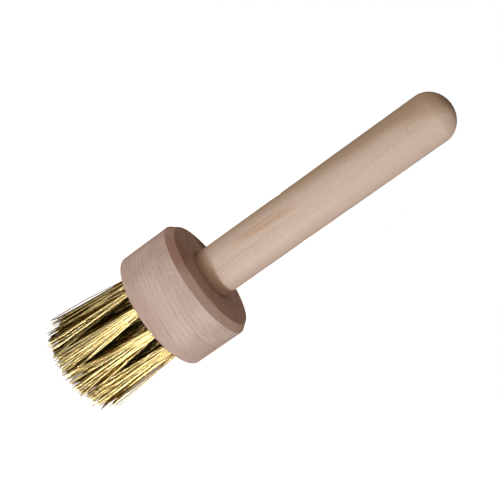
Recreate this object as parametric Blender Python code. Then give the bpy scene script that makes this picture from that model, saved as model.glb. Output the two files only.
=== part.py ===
"""Round wire brush.

A turned beech handle is glued into a beech head. The head holds sixteen tufts of
brass wire, each folded over a steel staple driven into its own blind hole.
The brush stands on its wire tips at z = 0, with the handle along +Z.
"""
import math

import bmesh
import bpy

MM = 0.001

# Driving dimensions
GAP = 0.3 * MM              # glue line, and clearance between neighbouring pieces

TRIM = 44.0 * MM            # length of wire standing out of the head
HEAD_RADIUS = 27.5 * MM
HEAD_HEIGHT = 27.0 * MM
CHAMFER_IN = 2.5 * MM       # top chamfer, measured towards the axis
CHAMFER_DOWN = 3.2 * MM     # top chamfer, measured along the axis
EDGE_BREAK = 0.4 * MM       # sanded lower edge of the head

HANDLE_RADIUS = 11.0 * MM
HANDLE_LENGTH = 120.7 * MM  # from the shoulder to the end of the dome
SEAT_DEPTH = 1.0 * MM       # how far the shoulder is let into the head
DOME_HEIGHT = 8.8 * MM
TENON_RADIUS = 8.0 * MM
TENON_LENGTH = 11.0 * MM

OUTER_TUFTS = 10
INNER_TUFTS = 5
OUTER_RING = 17.6 * MM      # radius of the circle of outer hole centres
INNER_RING = 8.6 * MM
INNER_PHASE = -90.0         # degrees, direction of the first inner tuft
STRAY_TUFT = 7              # the outer hole that was drilled off its even place
STRAY_ANGLE = 5.0           # degrees, how far it was drilled off
TUFT_RADIUS = 2.2 * MM      # tuft inside its hole
OUTER_TIP_RADIUS = 4.5 * MM
INNER_TIP_RADIUS = 4.0 * MM
FLARE_POWER = 1.15          # a little over 1, so the tuft widens faster towards its tips
HOLE_DEPTH = 8.0 * MM

STAPLE_WIRE = 0.5 * MM      # radius of the staple's wire
STAPLE_HALF = 1.7 * MM      # half the distance between the staple's legs
STAPLE_BEND = 0.7 * MM      # bend radius at the crown's corners
LEG_DEPTH = 3.0 * MM        # how far the legs stand in the wood past the hole
POINT_LENGTH = 0.6 * MM
POINT_RADIUS = 0.12 * MM
FOLD_HEIGHT = 2.2 * MM      # wire above the middle of the staple's crown
FOLD_ROUND = 0.9 * MM       # rounding at the top of the fold

# Mesh resolution
HEAD_SEGMENTS = 64
HANDLE_SEGMENTS = 40
TUFT_SEGMENTS = 14
HOLE_SEGMENTS = 14
WIRE_SEGMENTS = 8
DOME_STEPS = 8
FLARE_STEPS = 4
BEND_STEPS = 3

# Levels along the axis, worked out from the dimensions above
HEAD_BOTTOM = TRIM
HEAD_TOP = HEAD_BOTTOM + HEAD_HEIGHT
HOLE_END = HEAD_BOTTOM + HOLE_DEPTH
HOLE_RADIUS = TUFT_RADIUS + GAP
FOLD_TOP = HOLE_END - 2 * GAP
CROWN = FOLD_TOP - FOLD_HEIGHT
SEAT = HEAD_TOP - SEAT_DEPTH
SEAT_RADIUS = HANDLE_RADIUS + GAP
SHOULDER = SEAT + GAP
LEG_END = HOLE_END + LEG_DEPTH
BORE_RADIUS = TENON_RADIUS + GAP
BORE_END = SHOULDER - TENON_LENGTH - GAP

BEECH_HANDLE = ("beech_handle", (0.61, 0.48, 0.39, 1.0), 0.55, 0.0)
BEECH_HEAD = ("beech_head", (0.52, 0.40, 0.35, 1.0), 0.62, 0.0)
BRASS_WIRE = ("brass_wire", (0.72, 0.55, 0.20, 1.0), 0.28, 1.0)
STAPLE_STEEL = ("staple_steel", (0.55, 0.55, 0.57, 1.0), 0.35, 1.0)


def clear_scene():
    for old in list(bpy.data.objects):
        bpy.data.objects.remove(old, do_unlink=True)


def make_material(name, colour, roughness, metallic):
    material = bpy.data.materials.new(name)
    material.use_nodes = True
    shader = material.node_tree.nodes["Principled BSDF"]
    shader.inputs["Base Color"].default_value = colour
    shader.inputs["Roughness"].default_value = roughness
    shader.inputs["Metallic"].default_value = metallic
    return material


def finish_mesh(bm, name):
    """Turn a bmesh into a mesh whose faces point out."""
    bmesh.ops.recalc_face_normals(bm, faces=bm.faces)
    mesh = bpy.data.meshes.new(name)
    bm.to_mesh(mesh)
    bm.free()
    return mesh


def turned_mesh(name, profile, segments):
    """Revolve (radius, height) points, given from the axis at the top to the axis below."""
    bm = bmesh.new()
    points = [bm.verts.new((radius, 0.0, height)) for radius, height in profile]
    edges = [bm.edges.new(pair) for pair in zip(points, points[1:])]
    bmesh.ops.spin(
        bm, geom=points + edges, cent=(0, 0, 0), axis=(0, 0, 1),
        angle=2 * math.pi, steps=segments, use_merge=True)
    bmesh.ops.remove_doubles(bm, verts=bm.verts, dist=1e-6)
    return finish_mesh(bm, name)


def add_cylinder(bm, centre, radius, bottom, top, segments):
    """Add one closed cylinder along Z to a bmesh."""
    made = bmesh.ops.create_cone(
        bm, cap_ends=True, segments=segments, radius1=radius, radius2=radius,
        depth=top - bottom)
    bmesh.ops.translate(
        bm, verts=made["verts"], vec=(centre[0], centre[1], (bottom + top) / 2))


def cylinders_mesh(name, centres, radius, bottom, top, segments):
    bm = bmesh.new()
    for centre in centres:
        add_cylinder(bm, centre, radius, bottom, top, segments)
    return finish_mesh(bm, name)


def add_ring(bm, centre, side, radius, segments):
    """Add a ring of wire section in the plane of the given side direction and Y."""
    ring = []
    for step in range(segments):
        angle = 2 * math.pi * (step + 0.5) / segments
        along = radius * math.cos(angle)
        across = radius * math.sin(angle)
        ring.append(bm.verts.new((
            centre[0] + along * side[0], across, centre[1] + along * side[1])))
    return ring


def swept_mesh(name, stations):
    """Sweep a round section through stations of (x, z), side direction and radius."""
    bm = bmesh.new()
    rings = [add_ring(bm, *station, WIRE_SEGMENTS) for station in stations]
    for ring, following in zip(rings, rings[1:]):
        for index in range(WIRE_SEGMENTS):
            after = (index + 1) % WIRE_SEGMENTS
            bm.faces.new((ring[index], ring[after], following[after], following[index]))
    bm.faces.new(rings[0])
    bm.faces.new(rings[-1])
    return finish_mesh(bm, name)


def corner_stations(sign, radius):
    """Stations round one corner of the crown, from the leg to the crown."""
    stations = []
    for step in range(BEND_STEPS + 1):
        angle = math.pi / 2 * step / BEND_STEPS
        side = (math.cos(angle), -sign * math.sin(angle))
        x = sign * (STAPLE_HALF - STAPLE_BEND + STAPLE_BEND * math.cos(angle))
        z = CROWN + STAPLE_BEND - STAPLE_BEND * math.sin(angle)
        stations.append(((x, z), side, radius))
    return stations


def staple_stations(radius, leg_stations):
    """Down the left leg, along the crown and up the right leg."""
    left = [((-STAPLE_HALF, z), (1.0, 0.0), end_radius) for z, end_radius in leg_stations]
    left += [(point, side, r) for point, side, r in corner_stations(-1, radius)]
    right = [((-x, z), (-side[0], side[1]), r) for (x, z), side, r in reversed(left)]
    return left + right


def staple_mesh():
    legs = [(LEG_END, POINT_RADIUS), (LEG_END - POINT_LENGTH, STAPLE_WIRE)]
    return swept_mesh("staple", staple_stations(STAPLE_WIRE, legs))


def staple_room_mesh():
    """The staple's shape with clearance all round, to cut out of a tuft."""
    room = STAPLE_WIRE + GAP
    return swept_mesh("staple_room", staple_stations(room, [(HOLE_END, room)]))


def make_object(name, mesh, parent=None):
    made = bpy.data.objects.new(name, mesh)
    made.parent = parent
    bpy.context.scene.collection.objects.link(made)
    return made


def make_cutter(name, mesh):
    cutter = make_object(name, mesh)
    cutter.hide_render = True
    cutter.display_type = "WIRE"
    return cutter


def add_cut(target, cutter):
    cut = target.modifiers.new(cutter.name, "BOOLEAN")
    cut.operation = "DIFFERENCE"
    cut.solver = "EXACT"
    cut.object = cutter


def smooth(mesh):
    mesh.shade_smooth()
    mesh.set_sharp_from_angle(angle=math.radians(35))


def cut_mesh(mesh, cutter_mesh):
    """Cut one mesh by another and return the result, leaving no helper objects."""
    body = make_object("cut_body", mesh)
    cutter = make_object("cut_tool", cutter_mesh)
    add_cut(body, cutter)
    bpy.context.view_layer.update()
    evaluated = body.evaluated_get(bpy.context.evaluated_depsgraph_get())
    result = bpy.data.meshes.new_from_object(evaluated)
    bpy.data.objects.remove(body, do_unlink=True)
    bpy.data.objects.remove(cutter, do_unlink=True)
    return result


def tuft_mesh(name, tip_radius):
    """A bundle of wire: rounded at the fold, straight in the hole, flared to the tips."""
    profile = [
        (0.0, FOLD_TOP),
        (TUFT_RADIUS - FOLD_ROUND, FOLD_TOP),
        (TUFT_RADIUS, FOLD_TOP - FOLD_ROUND),
        (TUFT_RADIUS, HEAD_BOTTOM),
    ]
    for step in range(1, FLARE_STEPS + 1):
        share = step / FLARE_STEPS
        flare = (tip_radius - TUFT_RADIUS) * share ** FLARE_POWER
        profile.append((TUFT_RADIUS + flare, HEAD_BOTTOM * (1 - share)))
    profile.append((0.0, 0.0))
    mesh = cut_mesh(turned_mesh(name, profile, TUFT_SEGMENTS), staple_room_mesh())
    mesh.name = name
    return mesh


def ring_places(label, count, radius, phase):
    """Names and centres of the holes of one ring, counted anticlockwise from +X."""
    places = []
    for index in range(count):
        angle = math.radians(phase) + 2 * math.pi * index / count
        centre = (radius * math.cos(angle), radius * math.sin(angle))
        places.append((f"{label}_{index + 1:02d}", centre))
    return places


def shift_stray(places):
    """Turn the stray hole's centre round the axis by the angle it is off."""
    label, (x, y) = places[STRAY_TUFT - 1]
    turn = math.radians(STRAY_ANGLE)
    shifted = (x * math.cos(turn) - y * math.sin(turn), x * math.sin(turn) + y * math.cos(turn))
    places[STRAY_TUFT - 1] = (label, shifted)


def make_handle(parent, material):
    """Dowel with a domed end, and a tenon for the head's bore."""
    end = SHOULDER + HANDLE_LENGTH
    sphere = (HANDLE_RADIUS ** 2 + DOME_HEIGHT ** 2) / (2 * DOME_HEIGHT)
    widest = math.asin(HANDLE_RADIUS / sphere)
    profile = []
    for step in range(DOME_STEPS + 1):
        angle = widest * step / DOME_STEPS
        profile.append((sphere * math.sin(angle), end - sphere * (1 - math.cos(angle))))
    profile += [
        (HANDLE_RADIUS, SHOULDER),
        (TENON_RADIUS, SHOULDER),
        (TENON_RADIUS, SHOULDER - TENON_LENGTH),
        (0.0, SHOULDER - TENON_LENGTH),
    ]
    handle = make_object("handle", turned_mesh("handle", profile, HANDLE_SEGMENTS), parent)
    handle.data.materials.append(material)
    smooth(handle.data)


def make_head(parent, material, centres):
    """Disc with a chamfered top, a seat and bore for the handle, and the tufts' blind holes."""
    profile = [
        (0.0, BORE_END),
        (BORE_RADIUS, BORE_END),
        (BORE_RADIUS, SEAT),
        (SEAT_RADIUS, SEAT),
        (SEAT_RADIUS, HEAD_TOP),
        (HEAD_RADIUS - CHAMFER_IN, HEAD_TOP),
        (HEAD_RADIUS, HEAD_TOP - CHAMFER_DOWN),
        (HEAD_RADIUS, HEAD_BOTTOM + EDGE_BREAK),
        (HEAD_RADIUS - EDGE_BREAK, HEAD_BOTTOM),
        (0.0, HEAD_BOTTOM),
    ]
    head = make_object("head_block", turned_mesh("head_block", profile, HEAD_SEGMENTS), parent)
    below = HEAD_BOTTOM - HOLE_DEPTH
    holes = cylinders_mesh("tuft_holes", centres, HOLE_RADIUS, below, HOLE_END, HOLE_SEGMENTS)
    add_cut(head, make_cutter("tuft_holes", holes))
    legs = [(x + side * STAPLE_HALF, y) for x, y in centres for side in (-1, 1)]
    leg_radius = STAPLE_WIRE + GAP
    leg_holes = cylinders_mesh(
        "leg_holes", legs, leg_radius, HOLE_END - GAP, LEG_END + GAP, WIRE_SEGMENTS)
    add_cut(head, make_cutter("leg_holes", leg_holes))
    head.data.materials.append(material)
    smooth(head.data)


def place_copies(prefix, mesh, places, parent):
    for label, centre in places:
        copy = make_object(f"{prefix}_{label}", mesh, parent)
        copy.location = (centre[0], centre[1], 0.0)


def main():
    clear_scene()
    outer = ring_places("outer", OUTER_TUFTS, OUTER_RING, 0.0)
    shift_stray(outer)
    inner = ring_places("inner", INNER_TUFTS, INNER_RING, INNER_PHASE)
    inner.append(("centre", (0.0, 0.0)))

    brush = make_object("wire_brush", None)
    make_handle(brush, make_material(*BEECH_HANDLE))
    centres = [centre for _, centre in outer + inner]
    make_head(brush, make_material(*BEECH_HEAD), centres)

    brass = make_material(*BRASS_WIRE)
    outer_tuft = tuft_mesh("outer_tuft", OUTER_TIP_RADIUS)
    inner_tuft = tuft_mesh("inner_tuft", INNER_TIP_RADIUS)
    staple = staple_mesh()
    for mesh, material in ((outer_tuft, brass), (inner_tuft, brass),
                           (staple, make_material(*STAPLE_STEEL))):
        mesh.materials.clear()
        mesh.materials.append(material)
        smooth(mesh)
    place_copies("tuft", outer_tuft, outer, brush)
    place_copies("tuft", inner_tuft, inner, brush)
    place_copies("staple", staple, outer + inner, brush)


main()
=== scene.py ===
"""Looks for the round wire brush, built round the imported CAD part.

The head and the handle are turned again at a finer resolution, with softened corners,
and get procedural beech. Every tuft is replaced by its real wires: hairpins of brass
wire, folded over the tuft's staple and flared towards their trimmed tips.
"""
import math
import random

import bmesh
import bpy
import numpy as np
from mathutils import Matrix, Vector


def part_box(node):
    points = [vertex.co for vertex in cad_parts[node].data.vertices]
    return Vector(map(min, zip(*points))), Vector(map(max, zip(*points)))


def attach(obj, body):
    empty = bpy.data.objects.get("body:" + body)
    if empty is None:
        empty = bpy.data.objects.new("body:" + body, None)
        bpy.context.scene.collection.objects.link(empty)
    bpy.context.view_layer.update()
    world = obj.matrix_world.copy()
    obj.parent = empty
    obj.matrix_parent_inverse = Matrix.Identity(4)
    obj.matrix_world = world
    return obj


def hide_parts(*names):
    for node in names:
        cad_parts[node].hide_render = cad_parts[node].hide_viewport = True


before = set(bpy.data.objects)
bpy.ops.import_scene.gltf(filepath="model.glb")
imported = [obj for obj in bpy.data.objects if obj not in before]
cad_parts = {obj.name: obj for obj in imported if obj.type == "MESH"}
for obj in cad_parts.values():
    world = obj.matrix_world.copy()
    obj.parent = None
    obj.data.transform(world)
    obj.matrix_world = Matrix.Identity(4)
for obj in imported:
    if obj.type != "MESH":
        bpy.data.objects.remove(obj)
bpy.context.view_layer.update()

MM = 0.001

# Places read from the frame
HEAD_LOW, HEAD_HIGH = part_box("head_block")
HANDLE_LOW, HANDLE_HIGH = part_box("handle")
HEAD_RADIUS = HEAD_HIGH.x
HEAD_BOTTOM = HEAD_LOW.z
HEAD_TOP = HEAD_HIGH.z
HANDLE_RADIUS = HANDLE_HIGH.x
HANDLE_END = HANDLE_HIGH.z
TENON_END = HANDLE_LOW.z

# Turned shapes, as the CAD part has them
GAP = 0.3 * MM
CHAMFER_IN = 2.5 * MM
CHAMFER_DOWN = 3.2 * MM
TENON_RADIUS = 8.0 * MM
DOME_HEIGHT = 8.8 * MM
SEAT = HEAD_TOP - 1.0 * MM
SEAT_RADIUS = HANDLE_RADIUS + GAP
SHOULDER = SEAT + GAP
BORE_RADIUS = TENON_RADIUS + GAP
BORE_END = TENON_END - GAP
HOLE_RADIUS = 2.5 * MM
HOLE_END = HEAD_BOTTOM + 8.0 * MM
STAPLE_HALF = 1.7 * MM
STAPLE_WIRE = 0.5 * MM
LEG_END = HOLE_END + 3.0 * MM

# Softened corners of the turned shapes
MOUTH_CORNER = 0.15 * MM
TOP_CORNER = 0.35 * MM
RIM_CORNER = 0.45 * MM
BOTTOM_CORNER = 0.6 * MM
DOME_CORNER = 6.0 * MM
FOOT_CORNER = 0.15 * MM
INNER_CORNER = 0.1 * MM
TENON_CORNER = 0.4 * MM
CORNER_STEPS = 5
DOME_STEPS = 20
HEAD_SEGMENTS = 192
HANDLE_SEGMENTS = 128
HOLE_SEGMENTS = 40
LEG_SEGMENTS = 12
SEAM = 1e-7                   # metres, closes the seam of a turned shape
WELD = 1e-6                   # metres, joins the slivers that a cut leaves
STRAIGHT = 1e-4               # radians, a corner flatter than this is left

# Wires of a tuft: 44 hairpins give 88 ends
WIRE_RADIUS = 0.21 * MM
HAIRPINS = 44
ROOT_RADIUS = 1.95 * MM
WIRE_SIDES = 5
BRANCH_STEPS = 9
FOLD_STEPS = 4
CROWN_PINCH = 0.45            # how far the wires close up along the staple's crown
FOLD_SPREAD = 0.6             # how much wider the outer wires fold than the inner ones
FOLD_REACH = STAPLE_WIRE + 1.2 * WIRE_RADIUS

# Flare of the tips, as multiples of the root: away from the axis, and sideways
OUTER_FLARE = (2.15, 3.4)
INNER_FLARE = (2.6, 2.6)
OUTER_POWERS = (0.95, 1.35)   # 1 flares evenly, more flares late
INNER_POWERS = (0.55, 1.0)
OUTWARD_LEAN = 0.045
SET = Vector((-0.7 * MM, -1.0 * MM))    # how far all the tips lean to one side
STRAY_TUFT = "outer_07"       # leans towards its neighbour
STRAY_LEAN = 1.6 * MM

# Unevenness of single wires
STRAY_SHARE = 0.07
TIP_SPREAD = 0.95 * MM
STRAY_SPREAD = 2.0 * MM
BEND = 0.14 * MM
STRAY_BEND = 0.4 * MM
RIPPLE_SHARE = 0.15
TRIM_SPREAD = 0.35 * MM
TRIM_LIMIT = 1.5 * MM
SHORT_SHARE = 0.10
SHORT_BY = 2.0 * MM

rng = random.Random(53)


# ---------------------------------------------------------------- node helpers

def add_node(tree, kind, inputs=None, **settings):
    """Add a node, set its properties, and set or link its inputs."""
    node = tree.nodes.new(kind)
    for key, value in settings.items():
        setattr(node, key, value)
    for key, value in (inputs or {}).items():
        if isinstance(value, bpy.types.NodeSocket):
            tree.links.new(value, node.inputs[key])
        else:
            node.inputs[key].default_value = value
    return node


def maths(tree, operation, first, second=0.5):
    node = add_node(tree, "ShaderNodeMath", {0: first, 1: second}, operation=operation)
    return node.outputs[0]


def times(tree, first, second):
    return maths(tree, "MULTIPLY", first, second)


def vector_maths(tree, operation, first, second=(0.0, 0.0, 0.0), output="Vector"):
    node = add_node(tree, "ShaderNodeVectorMath", {0: first, 1: second}, operation=operation)
    return node.outputs[output]


def mix_colour(tree, share, first, second, blend="MIX"):
    """Mix by the share. Sockets 0, 6 and 7 are the node's factor and its two colours."""
    node = add_node(tree, "ShaderNodeMix", data_type="RGBA", blend_type=blend)
    for index, value in ((0, share), (6, first), (7, second)):
        if isinstance(value, bpy.types.NodeSocket):
            tree.links.new(value, node.inputs[index])
        else:
            node.inputs[index].default_value = value
    return node.outputs[2]


def remap(tree, value, low, high, new_low=0.0, new_high=1.0, smooth=True):
    """Map a range of values to another, clamped."""
    node = add_node(
        tree, "ShaderNodeMapRange",
        {"Value": value, "From Min": low, "From Max": high, "To Min": new_low, "To Max": new_high},
        interpolation_type="SMOOTHSTEP" if smooth else "LINEAR")
    return node.outputs["Result"]


def noise(tree, vector, scale=1.0, detail=2.0, roughness=0.5):
    node = add_node(
        tree, "ShaderNodeTexNoise",
        {"Vector": vector, "Scale": scale, "Detail": detail, "Roughness": roughness})
    return node.outputs["Fac"]


def stretched(tree, vector, scale):
    """The vector with each component multiplied, so a texture is drawn out along one."""
    return vector_maths(tree, "MULTIPLY", vector, scale)


def object_place(tree):
    return add_node(tree, "ShaderNodeTexCoord").outputs["Object"]


def new_material(name):
    material = bpy.data.materials.new(name)
    material.use_nodes = True
    material.node_tree.nodes.clear()
    return material, material.node_tree


def finish_material(tree, inputs, height, bump_distance, bump_strength):
    """Principled shader with a bump, to the output."""
    bump = add_node(
        tree, "ShaderNodeBump",
        {"Height": height, "Distance": bump_distance, "Strength": bump_strength})
    shader = add_node(
        tree, "ShaderNodeBsdfPrincipled", {**inputs, "Normal": bump.outputs["Normal"]})
    add_node(tree, "ShaderNodeOutputMaterial", {"Surface": shader.outputs["BSDF"]})


# ---------------------------------------------------------------- beech

# Scales of the fine texture, per metre: along the grain it is drawn out ten times
FINE_GRAIN = 2600.0
COARSE_GRAIN = 260.0


def grain_noise(tree, place, along, share=1.0, detail=2.0, roughness=0.5):
    """Noise drawn out along the grain. A smaller share makes it coarser."""
    return noise(tree, stretched(tree, place, [v * share for v in along]), 1.0, detail, roughness)


def add_rings(tree, place, colour, count, along, strength, dark, line):
    """Colour with darker late wood and a thin line at the end of each ring."""
    phase = maths(tree, "FRACT", count)
    late_wood = remap(tree, phase, 0.35, 0.97)
    edge = times(tree, remap(tree, phase, 0.72, 0.95), remap(tree, phase, 1.0, 0.96))
    year = add_node(
        tree, "ShaderNodeTexWhiteNoise", {"W": maths(tree, "FLOOR", count)},
        noise_dimensions="1D").outputs["Value"]
    patchy = remap(tree, grain_noise(tree, place, along, 0.12), 0.38, 0.6, 0.25, 1.0)
    uneven = times(tree, remap(tree, year, 0.0, 1.0, 0.35, 1.0, smooth=False), patchy)
    strength = times(tree, uneven, strength)
    colour = mix_colour(tree, times(tree, late_wood, times(tree, strength, 0.30)), colour, dark)
    return mix_colour(tree, times(tree, edge, strength), colour, line), edge


def add_flecks(tree, place, colour, pores, along, dark, line):
    """Colour with open pores, short flecks and a fine mottle."""
    colour = mix_colour(tree, times(tree, remap(tree, pores, 0.55, 0.80), 0.35), colour, dark)
    flecks = remap(tree, grain_noise(tree, place, along, 0.6, 1.0), 0.70, 0.78)
    colour = mix_colour(tree, times(tree, flecks, 0.40), colour, line)
    mottle = remap(tree, noise(tree, place, 1500.0, 3.0, 0.6), 0.35, 0.65)
    return mix_colour(tree, mottle, colour, (0.91, 0.90, 0.89, 1), "MULTIPLY")


def beech_material(name, palette, rings, along, ring_strength, end_grain_and_top_shade, tints):
    """Beech: growth rings, fine pores and flecks along the grain, darker end grain on the handle's
    dome and painted shade on the head's top and bottom.

    palette: light and dark wood, ring line, and end colour: end grain on the handle, painted shade
    on the head.
    rings: function of the tree and the position that counts growth rings.
    along: scale vector that draws fine texture out along the grain, per metre.
    end_grain_and_top_shade: how far a face turns up or down before the end colour starts to show,
    and
    before it shows in full: real end grain on the handle's dome, painted shade on the head.
    tints: pairs of a mask function and a colour to multiply by under the mask.
    """
    light, dark, line, end_and_top_shade_colour = palette
    material, tree = new_material(name)
    place = object_place(tree)
    drift = grain_noise(tree, place, along, 0.035, 3.0, 0.55)
    pores = grain_noise(tree, place, along, 1.0, 3.0, 0.6)

    colour = mix_colour(tree, remap(tree, drift, 0.32, 0.68), light, dark)
    colour, edge = add_rings(
        tree, place, colour, rings(tree, place), along, ring_strength, dark, line)
    colour = add_flecks(tree, place, colour, pores, along, dark, line)

    # Faces turned up or down take the end colour: end grain on the handle's dome, painted shade on
    # the head's top face, chamfer and bottom.
    across = facing_up(tree, *end_grain_and_top_shade)
    dots = remap(tree, noise(tree, place, 2600.0), 0.52, 0.66)
    speckled = mix_colour(tree, times(tree, dots, 0.55), end_and_top_shade_colour, line)
    colour = mix_colour(tree, times(tree, across, 0.65), colour, speckled)
    for mask, tint in tints:
        colour = mix_colour(tree, mask(tree, place), colour, tint, "MULTIPLY")

    rough = remap(tree, pores, 0.3, 0.7, 0.50, 0.66)
    height = maths(tree, "SUBTRACT", remap(tree, pores, 0.38, 0.62), times(tree, edge, 0.5))
    height = maths(tree, "SUBTRACT", height, times(tree, dots, across))
    finish_material(
        tree, {"Base Color": colour, "Roughness": rough, "Specular IOR Level": 0.35},
        height, bump_distance=0.03 * MM, bump_strength=0.35)
    return material


def facing_up(tree, low, high):
    """1 where the surface faces up or down, 0 where it faces sideways."""
    normal = add_node(tree, "ShaderNodeNewGeometry").outputs["True Normal"]
    dot = vector_maths(tree, "DOT_PRODUCT", normal, (0.0, 0.0, 1.0), "Value")
    return remap(tree, maths(tree, "ABSOLUTE", dot), low, high)


def wavy(tree, place, scale, amount):
    """A slow wander about 0, by half the amount each way."""
    wander = noise(tree, stretched(tree, place, scale))
    return times(tree, maths(tree, "SUBTRACT", wander, 0.5), amount)


def head_rings(tree, place):
    """Nearly flat rings, tilted a little about the Y axis, as in a flat-sawn board."""
    tilt = (0.135, 0.02, 1.0)
    spacing = 2.3 * MM
    level = vector_maths(tree, "DOT_PRODUCT", place, tilt, "Value")
    count = maths(tree, "DIVIDE", level, spacing)
    count = maths(tree, "ADD", count, wavy(tree, place, (25.0, 60.0, 160.0), 1.6))
    return maths(tree, "ADD", count, wavy(tree, place, (120.0, 120.0, 60.0), 0.5))


def handle_rings(tree, place):
    """Rings round a heart far to one side, so they run straight along the handle."""
    heart = (-34.0 * MM, 21.0 * MM, 0.0)
    slope = 0.012
    spacing = 2.6 * MM
    away = vector_maths(tree, "SUBTRACT", place, heart)
    flat = stretched(tree, away, (1.0, 1.0, slope))
    radius = vector_maths(tree, "LENGTH", flat, output="Value")
    count = maths(tree, "DIVIDE", radius, spacing)
    return maths(tree, "ADD", count, wavy(tree, place, (60.0, 60.0, 9.0), 0.8))


def part_of(tree, place, axis):
    """One component of the position."""
    return add_node(tree, "ShaderNodeSeparateXYZ", {0: place}).outputs[axis]


def painted_side_shade(tree, place):
    """Painted shade on the side of the handle away from the key lamp, wider towards the domed end.
    """
    across = part_of(tree, place, "X")
    along = part_of(tree, place, "Z")
    start = remap(tree, along, SHOULDER, HANDLE_END, -0.70 * HANDLE_RADIUS, -0.25 * HANDLE_RADIUS,
                  smooth=False)
    near_end = remap(tree, along, HANDLE_END - 30.0 * MM, HANDLE_END, 0.0, 0.55 * HANDLE_RADIUS)
    start = maths(tree, "ADD", start, near_end)
    depth = maths(tree, "DIVIDE", maths(tree, "SUBTRACT", start, across), 0.45 * HANDLE_RADIUS)
    wander = wavy(tree, place, (90.0, 90.0, 12.0), 0.5)
    return remap(tree, maths(tree, "ADD", depth, wander), 0.0, 1.0)


def painted_foot_shade(tree, place):
    """Painted shade: a warm, darker band round the handle's foot, where the head's rim shades it.
    """
    return remap(tree, part_of(tree, place, "Z"), SHOULDER + 8.0 * MM, SHOULDER + 3.0 * MM)


def streak(tree, place):
    """One tapered mineral streak on the side of the handle."""
    low, high = 84.0 * MM, 122.0 * MM
    share = remap(tree, part_of(tree, place, "Z"), low, high, smooth=False)
    centre = remap(tree, share, 0.0, 1.0, -5.6 * MM, -3.4 * MM, smooth=False)
    off = maths(tree, "ABSOLUTE", maths(tree, "SUBTRACT", part_of(tree, place, "X"), centre))
    ends = times(tree, remap(tree, share, 0.0, 0.35), remap(tree, share, 1.0, 0.7))
    front = remap(tree, part_of(tree, place, "Y"), 0.0, -4.0 * MM)
    band = remap(tree, off, 2.4 * MM, 0.8 * MM)
    fibres = remap(tree, noise(tree, stretched(tree, place, (2200.0, 2200.0, 60.0))),
                   0.3, 0.6, 0.35, 1.0)
    return times(tree, times(tree, times(tree, band, ends), front), fibres)


def near_point(tree, place, point, far, near):
    """1 within the near distance of a vertical line through the point, 0 beyond the far one."""
    flat = stretched(tree, place, (1.0, 1.0, 0.0))
    away = vector_maths(tree, "DISTANCE", flat, point, "Value")
    return remap(tree, away, far, near)


def painted_rim_shade(tree, place):
    """Painted shade at the far rim of the top face, dark and broken up by coarse noise."""
    patch = near_point(tree, place, (-13.0 * MM, 22.0 * MM, 0.0), 12.0 * MM, 4.0 * MM)
    coarse = remap(tree, noise(tree, place, 1300.0, 3.0, 0.7), 0.35, 0.6, 0.55, 1.0)
    upper = remap(tree, part_of(tree, place, "Z"), HEAD_TOP - 1.5 * MM, HEAD_TOP - 0.5 * MM)
    return times(tree, times(tree, patch, coarse), upper)


def painted_chamfer_shade(tree, place):
    """Painted shade, darker and redder, on the left front of the chamfer and of the top face
    beside it, away from the key lamp.
    """
    patch = near_point(tree, place, (-17.0 * MM, -20.0 * MM, 0.0), 14.0 * MM, 5.0 * MM)
    start = HEAD_TOP - CHAMFER_DOWN
    return times(tree, patch, remap(tree, part_of(tree, place, "Z"), start, start + 0.3 * MM))


def head_beech():
    # The last colour is painted shade, on the head's faces turned up or down.
    palette = ((0.62, 0.51, 0.465, 1), (0.53, 0.415, 0.365, 1),
               (0.34, 0.22, 0.175, 1), (0.44, 0.30, 0.25, 1))
    # Both head tints are painted shade: on the chamfer's left front, and at the far rim of the top
    # face.
    tints = [(painted_chamfer_shade, (0.85, 0.74, 0.70, 1)), (painted_rim_shade, (0.36, 0.34, 0.32, 1))]
    grain_along_x = (COARSE_GRAIN, FINE_GRAIN, FINE_GRAIN)
    return beech_material(
        "beech_head", palette, head_rings, grain_along_x, 0.8, (0.35, 0.6), tints)


def handle_beech():
    palette = ((0.70, 0.585, 0.50, 1), (0.655, 0.54, 0.455, 1),
               (0.42, 0.29, 0.20, 1), (0.24, 0.165, 0.12, 1))
    # Painted shade on the handle's side away from the key lamp, then a mineral streak.
    tints = [(painted_side_shade, (0.84, 0.79, 0.68, 1)), (streak, (0.88, 0.75, 0.62, 1)),
             # Painted shade round the handle's foot.
             (painted_foot_shade, (0.88, 0.76, 0.64, 1))]
    grain_along_z = (FINE_GRAIN, FINE_GRAIN, COARSE_GRAIN)
    return beech_material(
        "beech_handle", palette, handle_rings, grain_along_z, 0.25, (0.60, 0.98), tints)


# ---------------------------------------------------------------- metal

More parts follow.
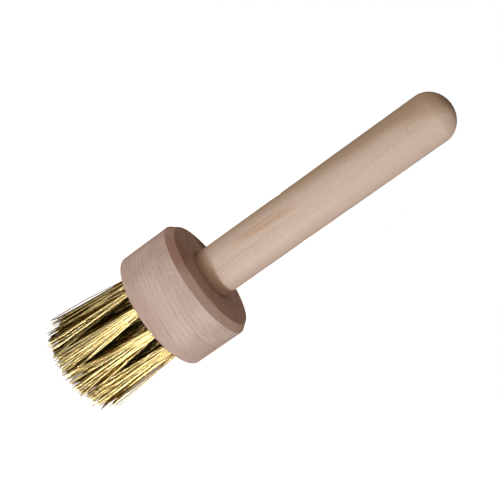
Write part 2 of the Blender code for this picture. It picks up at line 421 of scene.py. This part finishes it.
def brass_material():
    """Drawn brass wire, each wire a little brighter or duller than the next, with painted shade on
    the wires near the brush's axis.
    """
    dull, bright = (0.11, 0.055, 0.007, 1), (1.0, 0.82, 0.40, 1)
    stained, painted_inner_shade = (0.40, 0.23, 0.05, 1), (0.10, 0.055, 0.012, 1)
    material, tree = new_material("brass_wire")
    place = object_place(tree)
    wire = add_node(tree, "ShaderNodeNewGeometry").outputs["Random Per Island"]
    colour = mix_colour(tree, remap(tree, wire, 0.30, 0.95), dull, bright)
    stain = noise(tree, stretched(tree, place, (420.0, 420.0, 110.0)), 1.0, 3.0)
    colour = mix_colour(tree, remap(tree, stain, 0.55, 0.75, 0.0, 0.5), colour, stained)
    # Painted shade: wires near the axis darken, for the shade between the tufts.
    radius = vector_maths(tree, "LENGTH", stretched(tree, place, (1.0, 1.0, 0.0)), output="Value")
    inside = remap(tree, radius, 16.0 * MM, 9.0 * MM)
    colour = mix_colour(tree, times(tree, inside, 0.85), colour, painted_inner_shade)
    scratches = noise(tree, stretched(tree, place, (3000.0, 3000.0, 120.0)))
    rough = remap(tree, scratches, 0.3, 0.7, 0.22, 0.32)
    finish_material(
        tree, {"Base Color": colour, "Roughness": rough, "Metallic": 1.0},
        scratches, bump_distance=0.01 * MM, bump_strength=0.08)
    return material


def staple_material():
    """Drawn steel with a zinc grey cast and fine lines."""
    material, tree = new_material("staple_steel")
    place = object_place(tree)
    lines = noise(tree, stretched(tree, place, (900.0, 7000.0, 900.0)), 1.0, 3.0)
    colour = mix_colour(tree, lines, (0.42, 0.42, 0.44, 1), (0.66, 0.66, 0.68, 1))
    rough = remap(tree, lines, 0.3, 0.7, 0.28, 0.45)
    finish_material(
        tree, {"Base Color": colour, "Roughness": rough, "Metallic": 1.0},
        lines, bump_distance=0.01 * MM, bump_strength=0.3)
    return material


# ---------------------------------------------------------------- turned wood

def corner_arc(corner, before, after, radius):
    """Points of an arc that replaces a corner between two directions away from it."""
    half = before.angle(after) / 2
    reach = radius / math.tan(half)
    start = corner + before.normalized() * reach
    end = corner + after.normalized() * reach
    middle = (before.normalized() + after.normalized()).normalized()
    centre = corner + middle * (radius / math.sin(half))
    first = start - centre
    turn = first.angle_signed(end - centre)
    points = []
    for step in range(CORNER_STEPS + 1):
        spoke = first.copy()
        spoke.rotate(Matrix.Rotation(-turn * step / CORNER_STEPS, 2))
        points.append(tuple(centre + spoke))
    return points


def round_corners(points, radii):
    """Replace each corner of an open outline by a small arc."""
    rounded = [points[0]]
    for index in range(1, len(points) - 1):
        corner = Vector(points[index])
        before = Vector(points[index - 1]) - corner
        after = Vector(points[index + 1]) - corner
        straight = abs(before.angle(after) / 2 - math.pi / 2) < STRAIGHT
        if radii[index] == 0 or straight:
            rounded.append(points[index])
        else:
            rounded.extend(corner_arc(corner, before, after, radii[index]))
    rounded.append(points[-1])
    return rounded


def turned_mesh(name, profile, segments):
    """Revolve (radius, height) points, from the axis at the top to the axis below."""
    bm = bmesh.new()
    points = [bm.verts.new((radius, 0.0, height)) for radius, height in profile]
    edges = [bm.edges.new(pair) for pair in zip(points, points[1:])]
    bmesh.ops.spin(
        bm, geom=points + edges, cent=(0, 0, 0), axis=(0, 0, 1),
        angle=2 * math.pi, steps=segments, use_merge=True)
    bmesh.ops.remove_doubles(bm, verts=bm.verts, dist=SEAM)
    bmesh.ops.recalc_face_normals(bm, faces=bm.faces)
    return mesh_from(bm, name)


def mesh_from(bm, name):
    """Turn a bmesh into a mesh and free it."""
    mesh = bpy.data.meshes.new(name)
    bm.to_mesh(mesh)
    bm.free()
    return mesh


def new_object(name, mesh):
    made = bpy.data.objects.new(name, mesh)
    bpy.context.scene.collection.objects.link(made)
    return made


def smooth(mesh, sharp_from=40):
    """Shade smooth, but for edges sharper than the angle, in degrees."""
    mesh.shade_smooth()
    mesh.set_sharp_from_angle(angle=math.radians(sharp_from))


def cylinders(name, centres, radius, bottom, top, segments):
    """One object of upright cylinders at the centres, to cut with."""
    bm = bmesh.new()
    for x, y in centres:
        made = bmesh.ops.create_cone(
            bm, cap_ends=True, segments=segments, radius1=radius, radius2=radius,
            depth=top - bottom)
        bmesh.ops.translate(bm, verts=made["verts"], vec=(x, y, (bottom + top) / 2))
    return new_object(name, mesh_from(bm, name))


def cut(piece, cutter):
    """Cut the piece by the cutter, apply it, weld slivers, and remove the cutter."""
    modifier = piece.modifiers.new("cut", "BOOLEAN")
    modifier.operation = "DIFFERENCE"
    modifier.solver = "EXACT"
    modifier.object = cutter
    bpy.context.view_layer.update()
    evaluated = piece.evaluated_get(bpy.context.evaluated_depsgraph_get())
    mesh = bpy.data.meshes.new_from_object(evaluated)
    bm = bmesh.new()
    bm.from_mesh(mesh)
    bmesh.ops.remove_doubles(bm, verts=bm.verts, dist=WELD)
    bmesh.ops.dissolve_degenerate(bm, dist=WELD, edges=bm.edges)
    bm.to_mesh(mesh)
    bm.free()
    piece.modifiers.clear()
    piece.data = mesh
    bpy.data.objects.remove(cutter, do_unlink=True)


def make_head(centres):
    """The turned disc, with a bore and a seat, and holes for the tufts and staple legs."""
    profile = [
        (0.0, BORE_END), (BORE_RADIUS, BORE_END), (BORE_RADIUS, SEAT),
        (SEAT_RADIUS, SEAT), (SEAT_RADIUS, HEAD_TOP),
        (HEAD_RADIUS - CHAMFER_IN, HEAD_TOP), (HEAD_RADIUS, HEAD_TOP - CHAMFER_DOWN),
        (HEAD_RADIUS, HEAD_BOTTOM), (0.0, HEAD_BOTTOM)]
    radii = [0, 0, 0, 0, MOUTH_CORNER, TOP_CORNER, RIM_CORNER, BOTTOM_CORNER, 0]
    mesh = turned_mesh("head_turned", round_corners(profile, radii), HEAD_SEGMENTS)
    head = new_object("head_turned", mesh)
    cut(head, cylinders("holes", centres, HOLE_RADIUS, 0.0, HOLE_END, HOLE_SEGMENTS))
    legs = [(x + side * STAPLE_HALF, y) for x, y in centres for side in (-1, 1)]
    cut(head, cylinders(
        "legs", legs, STAPLE_WIRE + GAP, HOLE_END - GAP, LEG_END + GAP, LEG_SEGMENTS))
    head.data.name = "head_turned"
    return head


def dome_outline():
    """Points of the domed end, half way between a part of a ball and an oval."""
    sphere = (HANDLE_RADIUS ** 2 + DOME_HEIGHT ** 2) / (2 * DOME_HEIGHT)
    widest = math.asin(HANDLE_RADIUS / sphere)
    outline = []
    for step in range(DOME_STEPS):
        share = step / DOME_STEPS
        turn = math.pi / 2 * share
        ball = (sphere * math.sin(widest * share), sphere * (1 - math.cos(widest * share)))
        oval = (HANDLE_RADIUS * math.sin(turn), DOME_HEIGHT * (1 - math.cos(turn)))
        outline.append(((ball[0] + oval[0]) / 2, HANDLE_END - (ball[1] + oval[1]) / 2))
    return outline


def make_handle():
    dome = dome_outline()
    straight = [
        (HANDLE_RADIUS, HANDLE_END - DOME_HEIGHT), (HANDLE_RADIUS, SHOULDER),
        (TENON_RADIUS, SHOULDER), (TENON_RADIUS, TENON_END), (0.0, TENON_END)]
    radii = [0] * len(dome) + [DOME_CORNER, FOOT_CORNER, INNER_CORNER, TENON_CORNER, 0]
    profile = round_corners(dome + straight, radii)
    mesh = turned_mesh("handle_turned", profile, HANDLE_SEGMENTS)
    return new_object("handle_turned", mesh)


# ---------------------------------------------------------------- wire tufts

def half_disc(count, radius):
    """Evenly spread points on the half of a disc with y above 0."""
    golden = math.pi * (3 - math.sqrt(5))
    plenty = 3 * count
    points = []
    for index in range(plenty):
        x = math.sqrt(index + 0.5) * math.cos(golden * index)
        y = math.sqrt(index + 0.5) * math.sin(golden * index)
        if y > 0:
            points.append((x, y))
    points = points[:count]
    scale = radius / math.hypot(*points[-1])
    return [(x * scale, y * scale) for x, y in points]


def branch(root, tip, tip_height, bend, power):
    """Points of one wire from its tip up to the mouth of the hole."""
    points = []
    for step in range(BRANCH_STEPS):
        share = 1 - step / BRANCH_STEPS
        spread = share ** power
        arch = math.sin(math.pi * share)
        ripple = math.sin(2 * math.pi * share)
        x = root[0] + (tip[0] - root[0]) * spread + bend[0] * arch + bend[2] * ripple
        y = root[1] + (tip[1] - root[1]) * spread + bend[1] * arch + bend[3] * ripple
        points.append((x, y, HEAD_BOTTOM + (tip_height - HEAD_BOTTOM) * share))
    return points


def wire_tip(root, outward, flare, lean, spread):
    """Where a wire that starts at root ends. Outward is the way from the brush's axis."""
    radial, sideways = flare
    along = root[0] * outward[0] + root[1] * outward[1]
    across = root[1] * outward[0] - root[0] * outward[1]
    x = along * radial * outward[0] - across * sideways * outward[1]
    y = along * radial * outward[1] + across * sideways * outward[0]
    return x + lean[0] + rng.gauss(0, spread), y + lean[1] + rng.gauss(0, spread)


def random_bend(stray):
    """Sizes of a wire's arch and ripple, each in X and Y."""
    size = STRAY_BEND if stray else BEND
    return [rng.gauss(0, size), rng.gauss(0, size),
            rng.gauss(0, size * RIPPLE_SHARE), rng.gauss(0, size * RIPPLE_SHARE)]


def random_branch(root, outward, flare, lean, powers):
    """One end of a hairpin, with its own tip, trim and bend."""
    stray = rng.random() < STRAY_SHARE
    tip = wire_tip(root, outward, flare, lean, STRAY_SPREAD if stray else TIP_SPREAD)
    height = WIRE_RADIUS + min(abs(rng.gauss(0, TRIM_SPREAD)), TRIM_LIMIT)
    if rng.random() < SHORT_SHARE:
        height += rng.random() * SHORT_BY
    power = rng.uniform(*powers)
    return branch(root, tip, height, random_bend(stray), power)


def fold_points(root, crown):
    """Points of a hairpin inside its hole: up, over the staple's crown and down again."""
    x, y = root
    reach = FOLD_REACH + FOLD_SPREAD * y
    half_x, half_y = x * (1 + CROWN_PINCH) / 2, (y + reach) / 2
    half_way = (HEAD_BOTTOM + crown) / 2
    points = [(x, -y, HEAD_BOTTOM), (half_x, -half_y, half_way)]
    for step in range(FOLD_STEPS + 1):
        angle = math.pi * step / FOLD_STEPS
        points.append(
            (x * CROWN_PINCH, -reach * math.cos(angle), crown + reach * math.sin(angle)))
    return points + [(half_x, half_y, half_way), (x, y, HEAD_BOTTOM)]


def hairpin(root, crown, *shape):
    """Points of one wire from one tip, over its staple, to the other tip."""
    x, y = root
    first = random_branch((x, -y), *shape)
    last = random_branch((x, y), *shape)
    return first + fold_points(root, crown) + last[::-1]


def tube(points, radius, sides):
    """Vertices and faces of a closed tube along the points."""
    line = np.array(points)
    tangents = np.gradient(line, axis=0)
    tangents /= np.linalg.norm(tangents, axis=1)[:, None]
    side = np.array([1.0, 0.0, 0.0]) - tangents[:, :1] * tangents
    side /= np.linalg.norm(side, axis=1)[:, None]
    other = np.cross(tangents, side)
    angles = 2 * math.pi * np.arange(sides) / sides
    ring = (np.cos(angles)[None, :, None] * side[:, None, :]
            + np.sin(angles)[None, :, None] * other[:, None, :])
    vertices = (line[:, None, :] + radius * ring).reshape(-1, 3)
    faces = []
    for station in range(len(points) - 1):
        for index in range(sides):
            a = station * sides + index
            b = station * sides + (index + 1) % sides
            faces.append((a, b, b + sides, a + sides))
    faces.append(tuple(range(sides))[::-1])
    last = (len(points) - 1) * sides
    faces.append(tuple(range(last, last + sides)))
    return vertices, faces


def make_tuft(name, centre, crown, *shape):
    """A tuft's hairpins. Shape is the outward way, flare, lean and powers of its wires."""
    vertices = []
    faces = []
    for root in half_disc(HAIRPINS, ROOT_RADIUS):
        points = hairpin(root, crown, *shape)
        points = [(x + centre[0], y + centre[1], z) for x, y, z in points]
        tube_vertices, tube_faces = tube(points, WIRE_RADIUS, WIRE_SIDES)
        offset = len(vertices)
        vertices.extend(map(tuple, tube_vertices))
        faces.extend(tuple(index + offset for index in face) for face in tube_faces)
    mesh = bpy.data.meshes.new(name)
    mesh.from_pydata(vertices, [], faces)
    mesh.validate()
    smooth(mesh, sharp_from=80)
    return new_object(name, mesh)


def tuft_shape(label, centre):
    """The outward way, flare, lean and powers of a tuft's wires."""
    place = Vector(centre)
    outward = place.normalized() if place.length > MM else Vector((1.0, 0.0))
    lean = place * OUTWARD_LEAN + SET
    if label == STRAY_TUFT:
        lean = lean + Vector((-place.y, place.x)).normalized() * STRAY_LEAN
    if label.startswith("outer"):
        return outward, OUTER_FLARE, lean, OUTER_POWERS
    return outward, INNER_FLARE, lean, INNER_POWERS


# ---------------------------------------------------------------- stage

FLOOR_SIZE = 6.0
FLOOR_GAP = 0.2 * MM
WARM = (1.0, 0.97, 0.94)
NEUTRAL = (1.0, 0.985, 0.975)
WARM_WHITE = (1.0, 0.98, 0.95)


def floor_material():
    """Near white, with a fine grain. Clear from below, so the tips can be looked at."""
    material, tree = new_material("floor")
    grain = noise(tree, object_place(tree), 900.0)
    white = mix_colour(tree, grain, (0.86, 0.86, 0.86, 1), (0.90, 0.90, 0.90, 1))
    diffuse = add_node(tree, "ShaderNodeBsdfDiffuse", {"Color": white})
    glow = add_node(tree, "ShaderNodeEmission", {"Color": (1, 1, 1, 1), "Strength": 0.97})
    both = add_node(tree, "ShaderNodeAddShader",
                    {0: diffuse.outputs["BSDF"], 1: glow.outputs["Emission"]})
    below = add_node(tree, "ShaderNodeNewGeometry").outputs["Backfacing"]
    clear = add_node(tree, "ShaderNodeBsdfTransparent")
    shown = mix_shaders(tree, below, both.outputs["Shader"], clear.outputs["BSDF"])
    add_node(tree, "ShaderNodeOutputMaterial", {"Surface": shown})
    return material


def make_floor():
    """Pale floor under the tips, bright enough to run into the backdrop."""
    bpy.ops.mesh.primitive_plane_add(size=FLOOR_SIZE, location=(0, 0, -FLOOR_GAP))
    floor = bpy.context.object
    floor.name = "floor"
    floor.data.materials.append(floor_material())
    floor.visible_shadow = False
    floor.visible_diffuse = False
    floor.visible_glossy = False


def background(tree, colour, strength):
    node = add_node(tree, "ShaderNodeBackground", {"Color": colour, "Strength": strength})
    return node.outputs["Background"]


def mix_shaders(tree, share, first, second):
    return add_node(tree, "ShaderNodeMixShader", {0: share, 1: first, 2: second}).outputs["Shader"]


def make_world():
    """White backdrop to look at, dim warm light for the wood, dimmer reflections for the brass."""
    world = bpy.data.worlds.new("studio")
    bpy.context.scene.world = world
    world.use_nodes = True
    tree = world.node_tree
    tree.nodes.clear()
    path = add_node(tree, "ShaderNodeLightPath")
    soft = background(tree, (1.0, 0.77, 0.61, 1), 0.325)
    dark = background(tree, (1.0, 0.86, 0.70, 1), 0.058)
    white = background(tree, (1, 1, 1, 1), 1.0)
    lit = mix_shaders(tree, path.outputs["Is Glossy Ray"], soft, dark)
    both = mix_shaders(tree, path.outputs["Is Camera Ray"], lit, white)
    add_node(tree, "ShaderNodeOutputWorld", {"Surface": both})


def add_lamp(name, azimuth, elevation, distance, size, level, colour):
    """Disc lamp aimed at the head. Azimuth 0 is behind the camera, 90 is +X."""
    turn = math.radians(azimuth)
    rise = math.radians(elevation)
    direction = Vector((math.cos(rise) * math.sin(turn), -math.cos(rise) * math.cos(turn),
                        math.sin(rise)))
    lamp = bpy.data.lights.new(name, "AREA")
    lamp.shape = "DISK"
    lamp.size = size
    lamp.energy = level * math.pi ** 2 * distance ** 2
    lamp.color = colour
    made = bpy.data.objects.new(name, lamp)
    made.location = Vector((0, 0, HEAD_BOTTOM)) + direction * distance
    made.rotation_euler = direction.to_track_quat("Z", "Y").to_euler()
    bpy.context.scene.collection.objects.link(made)
    return made


def make_lamps():
    """Low key and side lamps, a soft fill, a glint for the brass, and light for the back."""
    add_lamp("key", azimuth=48, elevation=-16, distance=1.2, size=0.07, level=0.455,
             colour=NEUTRAL)
    front = add_lamp("front", azimuth=8, elevation=-6, distance=2.0, size=1.0, level=0.17,
                     colour=NEUTRAL)
    front.visible_glossy = False
    add_lamp("side", azimuth=-52, elevation=-10, distance=0.28, size=0.12, level=0.34,
             colour=WARM_WHITE)
    glint = add_lamp("glint", azimuth=58, elevation=-13, distance=1.2, size=0.24, level=0.51,
                     colour=WARM_WHITE)
    glint.visible_diffuse = False
    add_lamp("back", azimuth=180, elevation=-8, distance=1.0, size=0.3, level=0.60, colour=WARM)


def make_camera():
    """Close view from slightly above the head, rolled so the handle points up to the right."""
    distance = 0.2995
    elevation = math.radians(11.2)
    roll = math.radians(54.6)
    aim = Vector((0.95 * MM, 0.0, HEAD_BOTTOM + 47.05 * MM))
    back = Vector((0.0, -math.cos(elevation), math.sin(elevation)))
    right = Vector((1.0, 0.0, 0.0))
    up = back.cross(right)
    camera_right = right * math.cos(roll) + up * math.sin(roll)
    camera_up = up * math.cos(roll) - right * math.sin(roll)
    lens = bpy.data.cameras.new("camera")
    lens.sensor_width = 36.0
    lens.lens = 51.15
    lens.clip_start = 0.01
    camera = bpy.data.objects.new("camera", lens)
    camera.matrix_world = Matrix.Translation(aim + back * distance) @ Matrix(
        (camera_right, camera_up, back)).transposed().to_4x4()
    bpy.context.scene.collection.objects.link(camera)
    bpy.context.scene.camera = camera


# ---------------------------------------------------------------- assembly

def hand_over(piece, slot, material, *nodes):
    piece.data.materials.clear()
    piece.data.materials.append(material)
    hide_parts(*nodes)
    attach(piece, "root")


def tuft_labels():
    labels = [name[len("tuft_"):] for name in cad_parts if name.startswith("tuft_")]
    return sorted(labels)


def node_centre(node):
    low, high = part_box(node)
    middle = (low + high) / 2
    return middle.x, middle.y


def dress_tuft(label, centre, brass, steel):
    """Replace a tuft's solid by its wires, and give its staple steel."""
    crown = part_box("staple_" + label)[0].z + STAPLE_WIRE
    tuft = make_tuft("wires_" + label, centre, crown, *tuft_shape(label, centre))
    hand_over(tuft, "brass_wire", brass, "tuft_" + label)
    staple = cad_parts["staple_" + label]
    staple.data.materials.clear()
    staple.data.materials.append(steel)


def main():
    scene = bpy.context.scene
    scene.view_settings.view_transform = "Standard"
    scene.view_settings.look = "None"

    labels = tuft_labels()
    centres = [node_centre("tuft_" + label) for label in labels]
    head = make_head(centres)
    smooth(head.data)
    hand_over(head, "beech_head", head_beech(), "head_block")
    handle = make_handle()
    smooth(handle.data)
    hand_over(handle, "beech_handle", handle_beech(), "handle")

    brass = brass_material()
    steel = staple_material()
    for label, centre in zip(labels, centres):
        dress_tuft(label, centre, brass, steel)

    make_floor()
    make_world()
    make_lamps()
    make_camera()


main()
